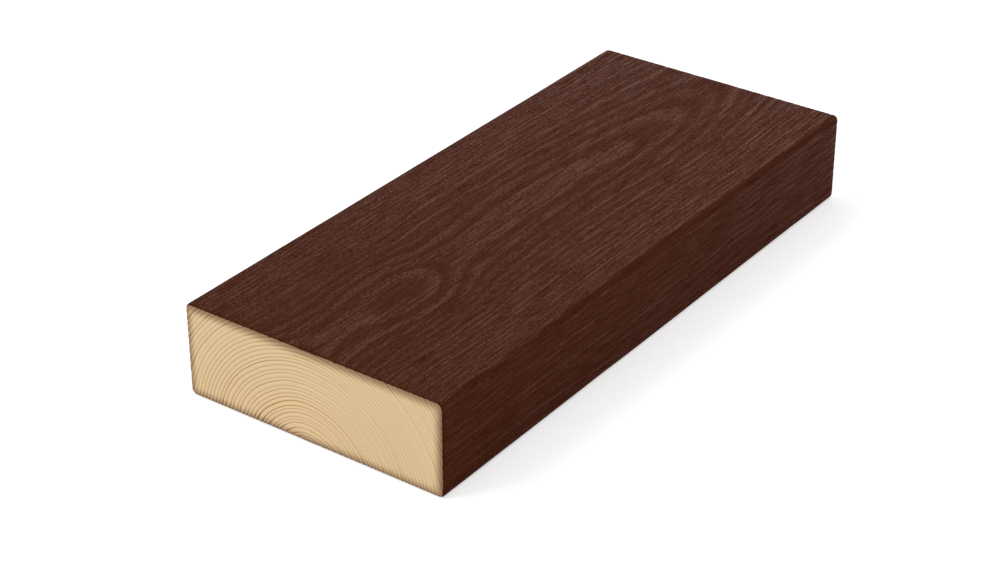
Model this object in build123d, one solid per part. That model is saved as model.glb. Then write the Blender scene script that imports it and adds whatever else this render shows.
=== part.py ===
"""Treated timber plank: a short length of planed softwood with rounded arrises.

The plank is sawn and planed from one piece of wood, so it is one solid. It lies flat on
its wide face. The origin is the middle of that face, +X runs across the width, +Y along
the grain and +Z up through the thickness.
"""

import os

from build123d import *

# Driving dimensions, in millimetres
PLANK_WIDTH = 150.0  # the wide face, across the grain
PLANK_THICKNESS = 50.0  # the narrow edge
PLANK_LENGTH = 354.0  # end to end, along the grain
ARRIS_RADIUS = 3.0  # rounding planed on the four long edges
END_EASING = 2.0  # rounding sanded round each cross-cut end
CORNER_LEFT = 0.2  # least arris radius left on the end face, inside the easing

# The easing wraps round the arrises, so the arris radius is the wall that limits it.
EASING_RADIUS = min(END_EASING, ARRIS_RADIUS - CORNER_LEFT)


def planed_section():
    """The cross-section that the planer leaves, standing on the floor."""
    outline = RectangleRounded(
        PLANK_WIDTH,
        PLANK_THICKNESS,
        ARRIS_RADIUS,
        align=(Align.CENTER, Align.MIN),
    )
    return Plane.XZ * outline


def plank():
    """The section run along the grain, cross-cut square and eased round both ends."""
    blank = extrude(planed_section(), PLANK_LENGTH / 2, both=True)
    cross_cuts = blank.faces().filter_by(Axis.Y)
    return fillet(cross_cuts.edges(), EASING_RADIUS)


os.makedirs("parts", exist_ok=True)
export_step(plank(), "parts/plank.step")
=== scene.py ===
"""The looks of a treated timber plank: planed pine under brown stain, with bare end grain.

One field of growth rings runs through the whole plank. It shapes the grooves of the surface
and draws its colours, so the arcs on the ends run on into the figure of the long faces.
"""

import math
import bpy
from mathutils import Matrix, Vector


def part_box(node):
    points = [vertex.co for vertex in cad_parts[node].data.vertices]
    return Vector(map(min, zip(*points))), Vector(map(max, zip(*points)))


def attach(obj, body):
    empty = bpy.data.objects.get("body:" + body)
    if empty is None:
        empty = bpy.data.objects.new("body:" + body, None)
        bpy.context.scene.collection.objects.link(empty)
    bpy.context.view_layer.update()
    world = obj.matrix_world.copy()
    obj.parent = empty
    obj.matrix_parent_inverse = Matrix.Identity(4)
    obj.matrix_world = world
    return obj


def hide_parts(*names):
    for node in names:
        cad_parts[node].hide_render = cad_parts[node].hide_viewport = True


bl_info = {
    "name": "Treated Timber Plank",
    "version": (1, 0, 0),
    "blender": (4, 5, 0),
    "location": "View3D > Sidebar > Timber",
    "description": "A short length of brown-stained pine with grooved grain and bare ends",
    "category": "Object",
}

import bpy
from bpy.props import FloatProperty, FloatVectorProperty, PointerProperty
from mathutils import Vector

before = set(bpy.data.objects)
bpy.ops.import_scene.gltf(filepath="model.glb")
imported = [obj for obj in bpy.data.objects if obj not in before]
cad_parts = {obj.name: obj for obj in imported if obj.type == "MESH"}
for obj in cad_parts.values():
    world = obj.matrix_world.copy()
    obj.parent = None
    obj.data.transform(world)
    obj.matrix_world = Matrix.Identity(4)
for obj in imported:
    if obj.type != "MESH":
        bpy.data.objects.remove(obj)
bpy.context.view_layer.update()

MM = 0.001
NODE = "plank"
BODY = "root"

# The plank's box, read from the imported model
LOW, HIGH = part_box(NODE)
MIDDLE = (LOW + HIGH) / 2
HALF = (HIGH - LOW) / 2

# Where the middle of the top face lies among the rings, along the plank: (share of the length
# from the near end, rings). The dip is the small oval of the figure, the level stretch after it
# is the long tongue, and the rise at the far end gives the nested arches.
RING_DRIFT = (
    (0.000, 0.20),
    (0.062, 0.82),
    (0.120, 0.56),
    (0.160, 0.32),
    (0.200, 0.27),
    (0.222, 0.38),
    (0.237, 0.62),
    (0.250, 0.86),
    (0.260, 1.03),
    (0.275, 1.20),
    (0.287, 1.46),
    (0.300, 1.58),
    (0.340, 1.64),
    (0.420, 1.62),
    (0.500, 1.66),
    (0.580, 1.75),
    (0.640, 1.82),
    (0.717, 1.88),
    (0.750, 2.05),
    (0.795, 2.25),
    (0.865, 2.84),
    (0.905, 3.20),
    (0.960, 3.80),
    (1.000, 4.15),
)

# How strongly a year's ring shows: (rings from the pith, strength)
RING_STRENGTH = (
    (0.0, 0.70),
    (15.8, 0.75),
    (16.9, 1.10),
    (18.5, 1.10),
    (19.6, 0.60),
    (20.6, 0.90),
    (21.6, 0.55),
    (23.0, 0.85),
    (24.2, 0.50),
    (25.4, 0.80),
    (26.6, 0.55),
    (28.1, 1.10),
    (29.2, 0.60),
    (32.0, 0.62),
    (34.6, 0.62),
    (35.6, 0.35),
    (36.6, 0.60),
    (37.8, 0.30),
    (39.1, 0.74),
    (40.6, 0.37),
    (42.8, 0.80),
    (44.2, 0.37),
    (45.6, 0.73),
    (47.2, 0.37),
    (49.0, 0.75),
    (54.0, 0.55),
)

# The figure on the top: its middle ring, the years to either side that are even in width, the
# shares of the half width between which it fades, and how much of it is left beyond them
FIGURE_RING = 33.0
EVEN_YEARS = 2.5
FIGURE_FADE = (0.2, 0.8)
FIGURE_LEFT = 0.2

# Marks within one ring: where a form starts to rise, is full, starts to fall and ends
PALE_BAND = (0.20, 0.70, 0.86, 1.0)
END_GROOVE = (0.45, 0.80, 0.84, 1.0)
END_LINE = (0.60, 0.86, 0.90, 1.0)

# Sizes of the patterns in the wood, in millimetres: (across the grain, along it)
SLOW_WAVES = (18, 110)
PATCHES = (5, 40)
HOLLOWS = (1.3, 18)
FIBRES = (0.5, 20)  # bundles, because single fibres are too fine to show
DASHES = (0.55, 1.2)
MESH_FRAY = (1.2, 22)  # coarser, for the mesh
FINE_FRAY = (0.6, 22)

# How far the rings stray from even spacing, in rings to either side
WAVE_SWING = 0.3  # in slow waves along the grain
FRAY_SWING = 0.3  # at the frayed edge of a pale band
YEAR_SWING = 0.6  # in wide and narrow years
YEAR_CHANGE = 0.45  # how fast wide and narrow years change, for each ring

# Heights of the noise between which a form comes up
PATCH_LEVELS = (0.35, 0.65)
FIBRE_LEVELS = (0.455, 0.61)
PORE_LEVELS = (0.43, 0.36)

# How much of a form is shown, as a share
PATCH_SHOWN = (0.70, 1.05)  # pale bands between the patches and in them
DASH_SHARE = 0.48  # dashes in the mix of fibres and dashes
FIBRES_LEAST = (0.16, 0.28)  # fibres between the pale bands, in the figure and beyond it
FIBRE_SHEEN_ALONG = (0.78, 1.20)  # painted sheen: fibres at the near end and at the far end
PORES_SHOWN = 0.9
ARRIS_SHOWN = 0.65  # bands and fibres left on a rounded arris
NARROW_BANDS = 0.55  # pale bands on the narrow faces
NARROW_SHEEN = 0.24  # sheen on the narrow faces, cut as painted shade
SOAK_AND_SHADE_SHOWN = 0.76  # soaked stain at the rim of the bare end, darkened further by painted shade

# Where the stain changes, in millimetres
ARRIS_BAND = (1.6, 3.4)  # where the plainer band on a rounded arris ends, from the corner that the arris rounds off
DARK_EDGE = (-1.2, -0.2)  # where the stain darkens on the long faces, beside the cut
RIM_BLEND = 5.0  # how far the corners of the bare end are rounded
SOAK_AND_SHADE_DEPTH = 5.8  # how far the soaked stain and the painted rim shade reach into the bare end
SOAK_AND_SHADE_ALONG_LINES = 1.8  # how much further along a ring line
RAGGED_EDGE = 0.5  # how far the stain's edge steps back at a ring line

# Finish of the surfaces
WOOD_IOR = 1.5
STAIN_ROUGHNESS = 0.46
STAIN_GLOSS = (0.008, 0.34)  # between the fibres and on them
BARE_ROUGHNESS = 0.85
BARE_GLOSS = 0.02
FINE_RELIEF = 0.1 * MM
FINE_RELIEF_STRENGTH = 0.4

# Fineness of the mesh
ARRIS_SEGMENTS = 5
EASING_SEGMENTS = 4
FAN_SPOKES = 90
FAN_CUTS = 15  # in each of two rounds, because one round can't make them all

# Stage
BOARD_GREY = 0.8
BOARD_GLOW = 0.5
KEY_FROM = Vector((-0.56, -0.50, 0.66))
KEY_SPREAD = math.radians(35)
SENSOR_WIDTH = 36  # millimetres


def linear(code):
    """The linear colour of an sRGB hex code such as #4a2a20."""
    shares = [int(code[k : k + 2], 16) / 255 for k in (1, 3, 5)]
    return [s / 12.92 if s <= 0.04045 else ((s + 0.055) / 1.055) ** 2.4 for s in shares]


def add(tree, kind, inputs=(), **settings):
    """Add one node with its settings, and its inputs in order or by name.

    An input is a value, a socket, or a node, whose first working output is then used.
    """
    made = tree.nodes.new(kind)
    for name, value in settings.items():
        setattr(made, name, value)
    sockets = [socket for socket in made.inputs if socket.enabled]
    named = inputs.items() if isinstance(inputs, dict) else enumerate(inputs)
    for key, value in named:
        socket = sockets[key] if isinstance(key, int) else made.inputs[key]
        if isinstance(value, bpy.types.Node):
            value = next(output for output in value.outputs if output.enabled)
        if isinstance(value, bpy.types.NodeSocket):
            tree.links.new(value, socket)
        else:
            socket.default_value = value
    return made


class PlankSizes(bpy.types.PropertyGroup):
    """Sizes of the plank's edges, growth rings and relief."""

    arris_radius: FloatProperty(
        name="Arris Radius",
        description="Rounding planed on the four long edges",
        default=3 * MM,
        unit="LENGTH",
    )
    end_easing: FloatProperty(
        name="End Easing",
        description="Rounding sanded round each cross-cut end",
        default=2 * MM,
        unit="LENGTH",
    )
    ring_width: FloatProperty(
        name="Ring Width",
        description="Wood grown in one year, from one dark line to the next",
        default=2.0 * MM,
        unit="LENGTH",
    )
    pith_depth: FloatProperty(
        name="Pith Depth",
        description="How far the heart of the tree lies below the underside",
        default=14 * MM,
        unit="LENGTH",
    )
    pith_aside: FloatProperty(
        name="Pith Aside",
        description="How far the heart of the tree lies from the middle, across the width",
        default=-1.2 * MM,
        unit="LENGTH",
    )
    pith_wander: FloatProperty(
        name="Pith Wander",
        description="How far the heart of the tree swings to either side along the length",
        default=2.3 * MM,
        unit="LENGTH",
    )
    wander_length: FloatProperty(
        name="Wander Length",
        description="Length of one full swing of the heart of the tree",
        default=230 * MM,
        unit="LENGTH",
    )
    face_relief: FloatProperty(
        name="Face Relief",
        description="Depth of the ring grooves on the long faces",
        default=0.16 * MM,
        unit="LENGTH",
    )
    fibre_relief: FloatProperty(
        name="Fibre Relief",
        description="Depth of the hollows between the fibres on the long faces",
        default=0.12 * MM,
        unit="LENGTH",
    )
    end_relief: FloatProperty(
        name="End Relief",
        description="Depth of the ring grooves on the cross-cut ends",
        default=0.34 * MM,
        unit="LENGTH",
    )
    grid_across: FloatProperty(
        name="Grid Across",
        description="Spacing of the mesh across the grain",
        default=0.45 * MM,
        unit="LENGTH",
    )
    grid_along: FloatProperty(
        name="Grid Along",
        description="Spacing of the mesh along the grain",
        default=5.2 * MM,
        unit="LENGTH",
    )


def colour(name, description, code):
    """A colour that a user can change, from its sRGB hex code."""
    return FloatVectorProperty(
        name=name,
        description=description,
        default=linear(code),
        subtype="COLOR",
        size=3,
        min=0,
        max=1,
    )


class PlankColours(bpy.types.PropertyGroup):
    """Colours of the stain and of the bare wood."""

    latewood: colour("Stained Latewood", "Stain on the hard, dark part of a ring", "#441e10")
    earlywood: colour("Stained Earlywood", "Stain on the soft, pale part of a ring", "#472112")
    # Partly the fibres' own paler colour, partly painted sheen taken out of the gloss
    fibre_and_sheen: colour("Raised Fibres And Sheen", "Pale fibres that stand out of the stain", "#693a26")
    # Darker band along the cut ends of the long faces, and the colour of the pores
    stain_edge: colour("Stain Edge", "Thick stain along the cut ends", "#331406")
    bare_wood: colour("Bare Wood", "Unstained wood of the ends", "#e3c79d")
    bare_ring: colour("Bare Ring", "Dark line of a ring on the ends", "#c4a06f")
    # Partly stain soaked into the ends, partly painted shade darkening their eased rim
    bleed_and_shade: colour("Stain Bleed And Rim Shade", "Stain that soaked a little way into the ends", "#6e462e")


class StageSettings(bpy.types.PropertyGroup):
    """Camera, lamps and floor round the plank."""

    azimuth: FloatProperty(
        name="Azimuth",
        description="Camera's turn about the plank, from a view along the grain",
        default=math.radians(35.82),
        unit="ROTATION",
    )
    elevation: FloatProperty(
        name="Elevation",
        description="Camera's height above the floor, as an angle",
        default=math.radians(29.84),
        unit="ROTATION",
    )
    distance: FloatProperty(
        name="Distance",
        description="From the camera to the plank's origin, along the view",
        default=1209.3 * MM,
        unit="LENGTH",
    )
    aside: FloatProperty(
        name="Aside",
        description="Camera's place to the right of the origin",
        default=-17.8 * MM,
        unit="LENGTH",
    )
    above: FloatProperty(
        name="Above",
        description="Camera's place above the origin, square to the view",
        default=3.6 * MM,
        unit="LENGTH",
    )
    lens: FloatProperty(
        name="Lens",
        description="Focal length in millimetres on a 36 mm wide sensor",
        default=85.22,
    )
    key_strength: FloatProperty(
        name="Key Strength",
        description="Soft main lamp, from the left of the near end",
        default=1.2,
    )
    ambient: FloatProperty(
        name="Ambient",
        description="Even light from all round the studio",
        default=0.92,
    )
    floor_size: FloatProperty(
        name="Floor Size",
        description="Side of the square floor",
        default=12.0,
        unit="LENGTH",
    )


def fibres(tree, place, across, along, detail=2.0, roughness=0.5, shift=0.0):
    """Noise drawn out along the grain, with its sizes across and along in millimetres.

    The shift reads it at another place, so that two patterns of like size differ.
    """
    drawn = add(
        tree,
        "ShaderNodeVectorMath",
        (place, (1 / across, 1 / along, 1 / across), (shift, shift, shift)),
        operation="MULTIPLY_ADD",
    )
    return add(tree, "ShaderNodeTexNoise", (drawn, 1.0, detail, roughness))


def draw_curve(mapping, points):
    """Draw a node's curve through the points."""
    curve = mapping.curves[0]
    mapping.use_clip = False
    curve.points[0].location, curve.points[1].location = points[0], points[-1]
    for point in points[1:-1]:
        curve.points.new(*point)
    for point in curve.points:
        point.handle_type = "AUTO_CLAMPED"
    mapping.update()


def beyond_figure(tree, rings, low, high):
    """A value that goes from low to high as the rings leave the figure on the top."""
    away = add(tree, "ShaderNodeMath", (rings, FIGURE_RING), operation="SUBTRACT")
    away = add(tree, "ShaderNodeMath", (away,), operation="ABSOLUTE")
    return add(tree, "ShaderNodeMapRange", (away, EVEN_YEARS, 3 * EVEN_YEARS, low, high))


def ring_count(tree, place, sizes):
    """Rings counted outwards from the pith, at a place in millimetres."""
    x, y, _ = add(tree, "ShaderNodeSeparateXYZ", (place,)).outputs
    along = add(tree, "ShaderNodeMapRange", (y, LOW.y / MM, HIGH.y / MM))
    drift = add(tree, "ShaderNodeFloatCurve", {"Value": along})
    draw_curve(drift.mapping, RING_DRIFT)

    # The figure fades towards the narrow faces, where the lines run straighter
    spread = add(tree, "ShaderNodeMath", (x,), operation="ABSOLUTE")
    start, end = (share * HALF.x / MM for share in FIGURE_FADE)
    fade = add(
        tree,
        "ShaderNodeMapRange",
        (spread, start, end, 1.0, FIGURE_LEFT),
        interpolation_type="SMOOTHSTEP",
    )
    drift = add(tree, "ShaderNodeMath", (drift, fade), operation="MULTIPLY")

    # The pith wanders from side to side along the plank
    turns = add(
        tree,
        "ShaderNodeMath",
        (y, math.tau * MM / sizes.wander_length),
        operation="MULTIPLY",
    )
    swing = add(tree, "ShaderNodeMath", (turns,), operation="COSINE")
    swing = add(tree, "ShaderNodeMath", (swing, fade), operation="MULTIPLY")
    aside = add(
        tree,
        "ShaderNodeMath",
        (swing, -sizes.pith_wander / MM, sizes.pith_aside / MM),
        operation="MULTIPLY_ADD",
    )
    pith = add(tree, "ShaderNodeCombineXYZ", (aside, y, -sizes.pith_depth / MM))

    # The distance from the pith, counted in rings from the middle of the top
    radius = add(tree, "ShaderNodeVectorMath", (place, pith), operation="DISTANCE")
    at_top = (HIGH.z + sizes.pith_depth) / sizes.ring_width
    rings = add(
        tree,
        "ShaderNodeMath",
        (radius, MM / sizes.ring_width, drift),
        operation="MULTIPLY_ADD",
    )
    rings = add(tree, "ShaderNodeMath", (rings, round(at_top) - at_top), operation="ADD")

    waves = fibres(tree, place, *SLOW_WAVES, detail=1.0)
    waves = add(tree, "ShaderNodeMapRange", (waves, 0.0, 1.0, -WAVE_SWING, WAVE_SWING))

    # Wide and narrow years, away from the figure on the top
    unlike = beyond_figure(tree, rings, 0.0, 1.0)
    years = add(tree, "ShaderNodeTexNoise", (rings, YEAR_CHANGE, 0.0), noise_dimensions="1D")
    years = add(tree, "ShaderNodeMapRange", (years, 0.0, 1.0, -YEAR_SWING, YEAR_SWING))
    uneven = add(tree, "ShaderNodeMath", (years, unlike, waves), operation="MULTIPLY_ADD")
    return add(tree, "ShaderNodeMath", (rings, uneven), operation="ADD")


def ring_strength(tree, rings):
    """How strongly the ring shows at a count of rings."""
    last = RING_STRENGTH[-1][0]
    share = add(tree, "ShaderNodeMath", (rings, last), operation="DIVIDE")
    strength = add(tree, "ShaderNodeFloatCurve", {"Value": share})
    draw_curve(strength.mapping, [(ring / last, shown) for ring, shown in RING_STRENGTH])
    return strength


def hump(tree, part, foot, top, edge, end):
    """A rise from foot to top and a fall from edge to end, over one ring's part."""
    rise = add(
        tree,
        "ShaderNodeMapRange",
        (part, foot, top),
        interpolation_type="SMOOTHSTEP",
    )
    fall = add(
        tree,
        "ShaderNodeMapRange",
        (part, edge, end, 1.0, 0.0),
        interpolation_type="SMOOTHSTEP",
    )
    return add(tree, "ShaderNodeMath", (rise, fall), operation="MULTIPLY")


def pale_bands(tree, place, rings, fray):
    """How far into a pale band the long faces are: a slow rise and a sharp, frayed edge.

    The fray is the size of the fraying fibres in millimetres, across the grain and along it.
    """
    ragged = fibres(tree, place, *fray, shift=7.3)
    ragged = add(tree, "ShaderNodeMapRange", (ragged, 0.0, 1.0, -FRAY_SWING, FRAY_SWING))
    frayed = add(tree, "ShaderNodeMath", (rings, ragged), operation="ADD")
    part = add(tree, "ShaderNodeMath", (frayed,), operation="FRACT")
    pale = hump(tree, part, *PALE_BAND)
    strength = ring_strength(tree, rings)
    pale = add(tree, "ShaderNodeMath", (pale, strength), operation="MULTIPLY")

    # Patches in which the bands show more or less
    patch = fibres(tree, place, *PATCHES, detail=1.0, shift=1.9)
    patch = add(tree, "ShaderNodeMapRange", (patch, *PATCH_LEVELS, *PATCH_SHOWN))
    return add(tree, "ShaderNodeMath", (pale, patch), operation="MULTIPLY")


def from_cut(tree, place):
    """Millimetres inside the stain's edge, above nought on the cut ends and below it elsewhere.

    With it comes the distance from the nearest arris.
    """
    middle = tuple(MIDDLE / MM)
    outwards = add(tree, "ShaderNodeVectorMath", (place, middle), operation="SUBTRACT")
    outwards = add(tree, "ShaderNodeVectorMath", (outwards,), operation="ABSOLUTE")
    half = tuple(HALF / MM)
    inside = add(tree, "ShaderNodeVectorMath", (half, outwards), operation="SUBTRACT")
    x, y, z = add(tree, "ShaderNodeSeparateXYZ", (inside,)).outputs
    rim = add(tree, "ShaderNodeMath", (x, z, RIM_BLEND), operation="SMOOTH_MIN")
    arris = add(tree, "ShaderNodeMath", (x, z), operation="MAXIMUM")
    cut = add(tree, "ShaderNodeMath", (rim, y), operation="SUBTRACT")
    return cut, arris


def relief(sizes):
    """Geometry nodes that press rings and fibres into the plank, inwards only."""
    tree = bpy.data.node_groups.new("grain relief", "GeometryNodeTree")
    for way in ("INPUT", "OUTPUT"):
        tree.interface.new_socket("Geometry", in_out=way, socket_type="NodeSocketGeometry")
    start = add(tree, "NodeGroupInput")
    position = add(tree, "GeometryNodeInputPosition")
    place = add(tree, "ShaderNodeVectorMath", (position, 1 / MM), operation="SCALE")
    normal = add(tree, "GeometryNodeInputNormal")
    facing = add(tree, "ShaderNodeSeparateXYZ", (normal,)).outputs["Y"]
    facing = add(tree, "ShaderNodeMath", (facing,), operation="ABSOLUTE")
    rings = ring_count(tree, place, sizes)
    strength = ring_strength(tree, rings)

    # The ends: a narrow groove for each ring
    part = add(tree, "ShaderNodeMath", (rings,), operation="FRACT")
    groove = hump(tree, part, *END_GROOVE)
    groove = add(tree, "ShaderNodeMath", (groove, strength), operation="MULTIPLY")
    end = add(tree, "ShaderNodeMath", (groove, -sizes.end_relief), operation="MULTIPLY")

    # The long faces: the soft, pale part of each ring is worn down, and fibres stand in it
    pale = pale_bands(tree, place, rings, MESH_FRAY)
    hollow = fibres(tree, place, *HOLLOWS, shift=3.1)
    hollow = add(tree, "ShaderNodeMath", (hollow, -sizes.fibre_relief), operation="MULTIPLY")
    face = add(
        tree,
        "ShaderNodeMath",
        (pale, -sizes.face_relief, hollow),
        operation="MULTIPLY_ADD",
    )

    depth = add(tree, "ShaderNodeMix", (facing, face, end))
    offset = add(tree, "ShaderNodeVectorMath", (normal, depth), operation="SCALE")
    moved = add(tree, "GeometryNodeSetPosition", {"Geometry": start, "Offset": offset})
    add(tree, "NodeGroupOutput", (moved,))
    return tree


def raised_fibres(tree, place, pale, rings):
    """How far fine fibres stand out of the stain: broken into dashes, thick in the pale bands,
    and more towards the far end as painted sheen.

    With it comes the fibres' own noise, whose lowest places are pores.
    """
    fine = fibres(tree, place, *FIBRES, roughness=0.6)
    dashes = fibres(tree, place, *DASHES, shift=5.7)
    fine = add(tree, "ShaderNodeMix", (DASH_SHARE, fine, dashes))
    streak = add(tree, "ShaderNodeMapRange", (fine, *FIBRE_LEVELS))
    least = beyond_figure(tree, rings, *FIBRES_LEAST)
    amount = add(tree, "ShaderNodeMapRange", (pale, 0.0, 1.0, least, 1.0))
    streak = add(tree, "ShaderNodeMath", (streak, amount), operation="MULTIPLY")

    # Painted sheen: they stand out more towards the far end, standing in for the sheen that grows
    # as the view grazes the top
    along = add(tree, "ShaderNodeSeparateXYZ", (place,)).outputs["Y"]
    far_end_sheen = add(tree, "ShaderNodeMapRange", (along, LOW.y / MM, HIGH.y / MM, *FIBRE_SHEEN_ALONG))
    streak = add(tree, "ShaderNodeMath", (streak, far_end_sheen), operation="MULTIPLY")
    return streak, fine


def brown_stain(tree, pale, streak, fine, cut, colours):
    """The stain's colour: dark latewood, paler bands, fibres made paler partly by painted sheen,
    thin pores and a darker band beside the cut.
    """
    pores = add(tree, "ShaderNodeMapRange", (fine, *PORE_LEVELS, 0.0, PORES_SHOWN))
    edge = add(
        tree,
        "ShaderNodeMapRange",
        (cut, *DARK_EDGE),
        interpolation_type="SMOOTHSTEP",
    )
    stained = (*colours.latewood, 1)
    for share, colour_over in (
        (pale, colours.earlywood),
        (streak, colours.fibre_and_sheen),
        (pores, colours.stain_edge),
        (edge, colours.stain_edge),
    ):
        stained = add(
            tree,
            "ShaderNodeMix",
            (share, stained, (*colour_over, 1)),
            data_type="RGBA",
        )
    return stained


def bare_end(tree, line, cut, colours):
    """The cut ends' colour: thin ring lines on straw, with stain that soaks in from the rim and
    painted shade that darkens the rim further.
    """
    bare = add(
        tree,
        "ShaderNodeMix",
        (line, (*colours.bare_wood, 1), (*colours.bare_ring, 1)),
        data_type="RGBA",
    )

    # The soaked stain and the painted rim shade reach further in along the ring lines
    reach = add(tree, "ShaderNodeMath", (line, -SOAK_AND_SHADE_ALONG_LINES, cut), operation="MULTIPLY_ADD")
    soak_and_shade = add(
        tree,
        "ShaderNodeMapRange",
        (reach, 0.0, SOAK_AND_SHADE_DEPTH, SOAK_AND_SHADE_SHOWN, 0.0),
        interpolation_type="SMOOTHSTEP",
    )
    return add(tree, "ShaderNodeMix", (soak_and_shade, bare, (*colours.bleed_and_shade, 1)), data_type="RGBA")


def stained_pine(sizes, colours):
    """Planed pine under a brown stain, with bare ends.

    The stain is matt and shows every ring: dark, smooth latewood between paler bands that
    are hatched with fine raised fibres, paler partly as painted sheen. The cut ends stay
    straw-coloured with thin brown rings; the stain soaks in a little way round their rim, and
    painted shade darkens the rim further.
    """
    material = bpy.data.materials.new("planed_pine_brown_stain")
    material.use_nodes = True
    tree = material.node_tree
    tree.nodes.clear()
    coordinates = add(tree, "ShaderNodeTexCoord")
    place = add(
        tree,
        "ShaderNodeVectorMath",
        (coordinates.outputs["Object"], 1 / MM),
        operation="SCALE",
    )
    broad = add(tree, "ShaderNodeSeparateXYZ", (coordinates.outputs["Normal"],)).outputs["Z"]
    broad = add(tree, "ShaderNodeMath", (broad,), operation="ABSOLUTE")
    rings = ring_count(tree, place, sizes)
    cut, arris = from_cut(tree, place)

    # The long faces: bands and fibres, plainer on the narrow faces and fading on the rounded
    # arrises
    off_arris = add(
        tree,
        "ShaderNodeMapRange",
        (arris, *ARRIS_BAND, ARRIS_SHOWN, 1.0),
        interpolation_type="SMOOTHSTEP",
    )
    shown = add(tree, "ShaderNodeMapRange", (broad, 0.0, 1.0, NARROW_BANDS, 1.0))
    pale = pale_bands(tree, place, rings, FINE_FRAY)
    pale = add(tree, "ShaderNodeMath", (pale, shown), operation="MULTIPLY")
    streak, fine = raised_fibres(tree, place, pale, rings)
    streak = add(tree, "ShaderNodeMath", (streak, off_arris), operation="MULTIPLY")
    pale = add(tree, "ShaderNodeMath", (pale, off_arris), operation="MULTIPLY")
    stained = brown_stain(tree, pale, streak, fine, cut, colours)

    # The cut ends, up to a ragged edge
    part = add(tree, "ShaderNodeMath", (rings,), operation="FRACT")
    line = hump(tree, part, *END_LINE)
    strength = ring_strength(tree, rings)
    line = add(tree, "ShaderNodeMath", (line, strength), operation="MULTIPLY")
    bare = bare_end(tree, line, cut, colours)
    ragged = add(tree, "ShaderNodeMath", (line, -RAGGED_EDGE, cut), operation="MULTIPLY_ADD")
    bared = add(
        tree,
        "ShaderNodeMapRange",
        (ragged, -RAGGED_EDGE / 2, RAGGED_EDGE / 2),
        interpolation_type="SMOOTHSTEP",
    )
    finish = add(tree, "ShaderNodeMix", (bared, stained, bare), data_type="RGBA")

    # Relief too fine for the mesh: fibres on the faces, ring lines on the ends
    end_height = add(tree, "ShaderNodeMath", (line, -1.0), operation="MULTIPLY")
    height = add(tree, "ShaderNodeMix", (bared, streak, end_height))
    bump = add(
        tree,
        "ShaderNodeBump",
        {"Height": height, "Strength": FINE_RELIEF_STRENGTH, "Distance": FINE_RELIEF},
    )
    roughness = add(
        tree,
        "ShaderNodeMapRange",
        (bared, 0.0, 1.0, STAIN_ROUGHNESS, BARE_ROUGHNESS),
    )

    # The raised fibres catch a dull sheen. Less of it on the narrow faces is painted shade: it
    # stands in for the darker surroundings they reflect
    gloss = add(tree, "ShaderNodeMapRange", (streak, 0.0, 1.0, *STAIN_GLOSS))
    sheen = add(tree, "ShaderNodeMapRange", (broad, 0.0, 1.0, NARROW_SHEEN, 1.0))
    gloss = add(tree, "ShaderNodeMath", (gloss, sheen), operation="MULTIPLY")
    gloss = add(tree, "ShaderNodeMix", (bared, gloss, BARE_GLOSS))
    shader = add(
        tree,
        "ShaderNodeBsdfPrincipled",
        {
            "Base Color": finish,
            "Roughness": roughness,
            "Normal": bump,
            "IOR": WOOD_IOR,
            "Specular IOR Level": gloss,
        },
    )
    add(tree, "ShaderNodeOutputMaterial", (shader,))
    return material


def select_edges(piece, wanted, among_selected=False):
    """Leave selected, in edit mode, only the edges whose two ends pass the test."""
    bpy.ops.object.mode_set(mode="OBJECT")
    mesh = piece.data
    chosen = [
        edge.index
        for edge in mesh.edges
        if (edge.select or not among_selected)
        and wanted(*(mesh.vertices[k].co for k in edge.vertices))
    ]
    bpy.ops.object.mode_set(mode="EDIT")
    bpy.ops.mesh.select_mode(type="EDGE")
    bpy.ops.mesh.select_all(action="DESELECT")
    bpy.ops.object.mode_set(mode="OBJECT")
    for index in chosen:
        mesh.edges[index].select = True
    bpy.ops.object.mode_set(mode="EDIT")


def stations(low, high, step):
    """Evenly spaced places strictly between two ends, no further apart than the step."""
    count = math.ceil((high - low) / step)
    return [low + (high - low) * k / count for k in range(1, count)]


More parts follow.
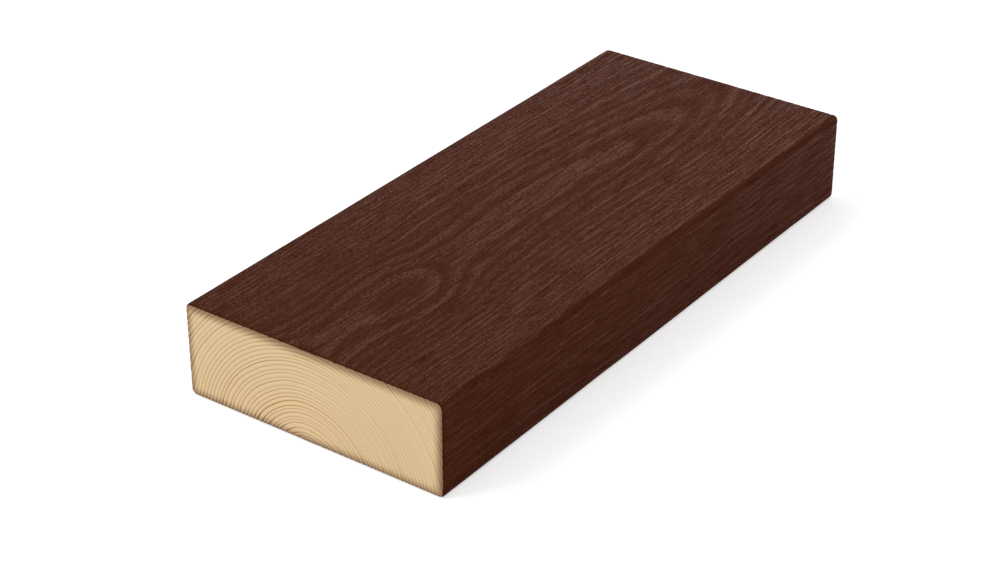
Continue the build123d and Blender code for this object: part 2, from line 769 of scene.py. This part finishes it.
class TIMBER_OT_add_plank(bpy.types.Operator):
    """Plane the plank, ease its ends, press in its grain and stain it"""

    bl_idname = "timber.add_plank"
    bl_label = "Plank"
    bl_options = {"REGISTER", "UNDO"}

    def execute(self, context):
        sizes = context.scene.plank_sizes
        if sizes.end_easing >= sizes.arris_radius:
            raise RuntimeError("the end easing has to be smaller than the arris radius")

        piece = self.planed_block(context, sizes)
        for end in (LOW.y, HIGH.y):
            self.fill_end(context, piece, end, sizes)
        bpy.ops.mesh.select_all(action="SELECT")
        bpy.ops.mesh.normals_make_consistent(inside=False)
        bpy.ops.object.mode_set(mode="OBJECT")
        bpy.ops.object.shade_smooth()

        grain = piece.modifiers.new("grain relief", "NODES")
        grain.node_group = relief(sizes)
        bpy.ops.object.modifier_apply(modifier=grain.name)

        piece.data.materials.clear()
        piece.data.materials.append(stained_pine(sizes, context.scene.plank_colours))
        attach(piece, BODY)
        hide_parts(NODE)
        return {"FINISHED"}

    def planed_block(self, context, sizes):
        """The plank with rounded arrises and eased, open ends, gridded to carry the grain."""
        arris, easing = sizes.arris_radius, sizes.end_easing
        bpy.ops.object.select_all(action="DESELECT")
        bpy.ops.mesh.primitive_cube_add(size=2, location=MIDDLE, scale=HALF)
        bpy.ops.object.transform_apply(location=True, rotation=True, scale=True)
        piece = context.active_object
        piece.name = piece.data.name = "timber_plank"

        select_edges(piece, lambda a, b: abs(a.y - b.y) > HALF.y)
        bpy.ops.mesh.bevel(offset=arris, segments=ARRIS_SEGMENTS, affect="EDGES")
        select_edges(piece, lambda a, b: a.y == b.y)
        bpy.ops.mesh.bevel(offset=easing, segments=EASING_SEGMENTS, affect="EDGES")
        select_edges(piece, lambda a, b: a.y == b.y and abs(a.y) == HALF.y)
        bpy.ops.mesh.delete(type="ONLY_FACE")

        for axis, low, high in (
            (Vector((1, 0, 0)), LOW.x + arris, HIGH.x - arris),
            (Vector((0, 0, 1)), LOW.z + arris, HIGH.z - arris),
        ):
            for station in stations(low, high, sizes.grid_across):
                bpy.ops.mesh.select_all(action="SELECT")
                bpy.ops.mesh.bisect(plane_co=axis * station, plane_no=axis)
        select_edges(piece, lambda a, b: abs(a.y - b.y) > HALF.y)
        cuts = len(stations(LOW.y + easing, HIGH.y - easing, sizes.grid_along))
        bpy.ops.mesh.subdivide(number_cuts=cuts)
        bpy.ops.object.mode_set(mode="OBJECT")
        return piece

    def fill_end(self, context, piece, end, sizes):
        """Close one end with a fan of faces that follow the growth rings."""
        fan = self.ring_fan(context, end, sizes)
        bpy.ops.object.select_all(action="DESELECT")
        fan.select_set(True)
        piece.select_set(True)
        context.view_layer.objects.active = piece
        bpy.ops.object.join()
        bpy.ops.object.mode_set(mode="EDIT")
        bpy.ops.mesh.select_mode(type="EDGE")
        bpy.ops.mesh.select_all(action="DESELECT")
        bpy.ops.mesh.select_non_manifold()
        select_edges(piece, lambda a, b: a.y * end > 0, among_selected=True)
        bpy.ops.mesh.fill()

    def ring_fan(self, context, end, sizes):
        """A flat fan spun about the pith and trimmed to leave a thin strip inside the rim."""
        pith = Vector((sizes.pith_aside, end, -sizes.pith_depth))
        inner = sizes.pith_depth
        outer = math.hypot(HALF.x + abs(sizes.pith_aside), HIGH.z + sizes.pith_depth)
        if context.object.mode != "OBJECT":
            bpy.ops.object.mode_set(mode="OBJECT")
        bpy.ops.object.select_all(action="DESELECT")
        bpy.ops.mesh.primitive_plane_add(size=MM, location=pith)
        bpy.ops.object.transform_apply(location=True, rotation=True, scale=True)
        fan = context.active_object
        bpy.ops.object.mode_set(mode="EDIT")
        bpy.ops.mesh.select_mode(type="VERT")
        bpy.ops.mesh.select_all(action="SELECT")
        bpy.ops.mesh.merge(type="CENTER")
        bpy.ops.transform.translate(value=(-inner, 0, 0))
        bpy.ops.mesh.extrude_region_move(TRANSFORM_OT_translate={"value": (inner - outer, 0, 0)})
        for _ in range(2):
            bpy.ops.mesh.select_all(action="SELECT")
            bpy.ops.mesh.subdivide(number_cuts=FAN_CUTS)
        bpy.ops.mesh.select_all(action="SELECT")
        bpy.ops.mesh.spin(steps=FAN_SPOKES, angle=math.pi, center=pith, axis=(0, -1, 0))
        margin = sizes.end_easing + sizes.grid_across
        for axis in (Vector((1, 0, 0)), Vector((0, 0, 1))):
            for way in (-1, 1):
                edge = MIDDLE + (HALF - Vector((margin, margin, margin))) * way
                bpy.ops.mesh.select_all(action="SELECT")
                bpy.ops.mesh.bisect(plane_co=edge, plane_no=axis * way, clear_outer=True)
        bpy.ops.object.mode_set(mode="OBJECT")
        return fan


def seen_white(tree):
    """One for rays that show the background itself, nought for rays that light the plank."""
    path = add(tree, "ShaderNodeLightPath")
    shown = path.outputs["Is Camera Ray"]
    for name in ("Is Glossy Ray", "Is Transmission Ray"):
        shown = add(
            tree,
            "ShaderNodeMath",
            {0: shown, 1: path.outputs[name]},
            operation="MAXIMUM",
        )
    return shown


def pale_floor():
    """Matt pale board that shows white, and greys softly in the plank's shadow."""
    material = bpy.data.materials.new("matt_white_board")
    material.use_nodes = True
    tree = material.node_tree
    tree.nodes.clear()
    board = add(tree, "ShaderNodeBsdfDiffuse", {"Color": (BOARD_GREY, BOARD_GREY, BOARD_GREY, 1)})
    strength = add(
        tree,
        "ShaderNodeMath",
        (seen_white(tree), BOARD_GLOW),
        operation="MULTIPLY",
    )
    glow = add(tree, "ShaderNodeEmission", {"Strength": strength})
    both = add(tree, "ShaderNodeAddShader", {0: board, 1: glow})
    add(tree, "ShaderNodeOutputMaterial", {"Surface": both})
    return material


class TIMBER_OT_add_stage(bpy.types.Operator):
    """Lay the floor, hang the lamps and set up the camera"""

    bl_idname = "timber.add_stage"
    bl_label = "Stage"
    bl_options = {"REGISTER", "UNDO"}

    def execute(self, context):
        scene = context.scene
        stage = scene.plank_stage

        bpy.ops.object.select_all(action="DESELECT")
        bpy.ops.mesh.primitive_plane_add(size=stage.floor_size)
        floor = context.active_object
        floor.name = "floor"
        floor.data.materials.append(pale_floor())

        world = bpy.data.worlds.new("white studio")
        world.use_nodes = True
        tree = world.node_tree
        tree.nodes.clear()
        strength = add(
            tree,
            "ShaderNodeMapRange",
            {"Value": seen_white(tree), "To Min": stage.ambient, "To Max": 1.0},
        )
        sky = add(tree, "ShaderNodeBackground", {"Strength": strength})
        add(tree, "ShaderNodeOutputWorld", {"Surface": sky})
        scene.world = world

        bpy.ops.object.light_add(type="SUN")
        key = context.active_object
        key.name = "key lamp"
        key.data.energy = stage.key_strength
        key.data.angle = KEY_SPREAD
        key.rotation_mode = "QUATERNION"
        key.rotation_quaternion = KEY_FROM.to_track_quat("Z", "Y")

        azimuth, elevation = stage.azimuth, stage.elevation
        level = math.cos(elevation)
        back = Vector(
            (math.sin(azimuth) * level, -math.cos(azimuth) * level, math.sin(elevation))
        )
        right = Vector((math.cos(azimuth), math.sin(azimuth), 0))
        up = back.cross(right)
        place = back * stage.distance + right * stage.aside + up * stage.above
        bpy.ops.object.camera_add(location=place)
        camera = context.active_object
        camera.name = "camera"
        camera.rotation_mode = "QUATERNION"
        camera.rotation_quaternion = back.to_track_quat("Z", "Y")
        camera.data.lens = stage.lens
        camera.data.sensor_width = SENSOR_WIDTH
        camera.data.dof.use_dof = False
        scene.camera = camera
        scene.view_settings.view_transform = "Standard"
        return {"FINISHED"}


class TIMBER_PT_panel(bpy.types.Panel):
    """The plank's sizes, colours and stage."""

    bl_idname = "TIMBER_PT_panel"
    bl_label = "Treated Timber Plank"
    bl_space_type = "VIEW_3D"
    bl_region_type = "UI"
    bl_category = "Timber"

    def draw(self, context):
        scene = context.scene
        for operator, group in (
            (TIMBER_OT_add_plank, scene.plank_sizes),
            (None, scene.plank_colours),
            (TIMBER_OT_add_stage, scene.plank_stage),
        ):
            box = self.layout.box()
            for name in group.__annotations__:
                box.prop(group, name)
            if operator:
                box.operator(operator.bl_idname)


CLASSES = (
    PlankSizes,
    PlankColours,
    StageSettings,
    TIMBER_OT_add_plank,
    TIMBER_OT_add_stage,
    TIMBER_PT_panel,
)


def register():
    for cls in CLASSES:
        bpy.utils.register_class(cls)
    bpy.types.Scene.plank_sizes = PointerProperty(type=PlankSizes)
    bpy.types.Scene.plank_colours = PointerProperty(type=PlankColours)
    bpy.types.Scene.plank_stage = PointerProperty(type=StageSettings)


def unregister():
    del bpy.types.Scene.plank_stage
    del bpy.types.Scene.plank_colours
    del bpy.types.Scene.plank_sizes
    for cls in reversed(CLASSES):
        bpy.utils.unregister_class(cls)


def main():
    register()
    bpy.ops.timber.add_plank()
    bpy.ops.timber.add_stage()


if __name__ == "__main__":
    main()
